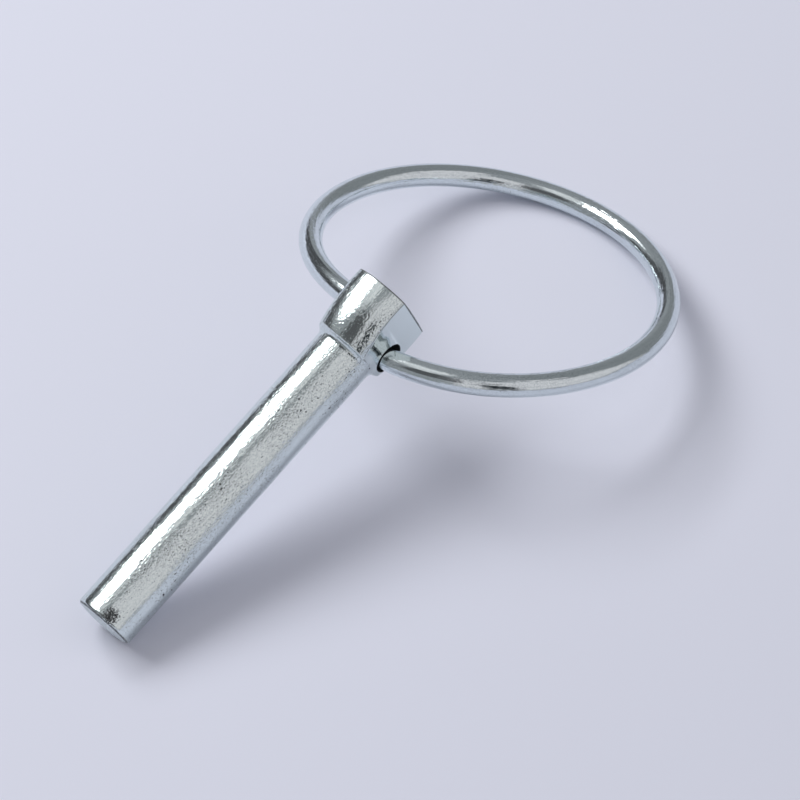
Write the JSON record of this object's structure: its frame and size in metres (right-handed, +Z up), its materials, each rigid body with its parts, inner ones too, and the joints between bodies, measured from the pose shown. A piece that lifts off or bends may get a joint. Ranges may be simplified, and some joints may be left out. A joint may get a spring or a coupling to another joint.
{
  "type": "lynch pin",
  "caption": "Straight round locking pin with a flatted round head and a sprung wire ring that swings in it.",
  "frame": {"origin": "on the table, midway between the two ends of the resting part", "axes": "+Z up from the table; +X from the pin's tip towards the far side of the ring; the ring swings about -Y"},
  "size_m": [0.0912, 0.049, 0.0254],
  "materials": {
    "zinc_pin": "bright zinc plating with fine lengthwise scratches and small dark pits",
    "zinc_ring": "bright zinc plating on drawn spring wire, a little pitted"
  },
  "bodies": {
    "pin": {"pin": "zinc_pin"},
    "ring": {"ring": "zinc_ring"}
  },
  "joints": [
    {"name": "ring_swing", "type": "hinge", "parent": "pin", "child": "ring", "pos_m": [0.00101, 0, 0.01662], "axis": [0, -1, 0], "range_deg": [-137, 207]}
  ]
}
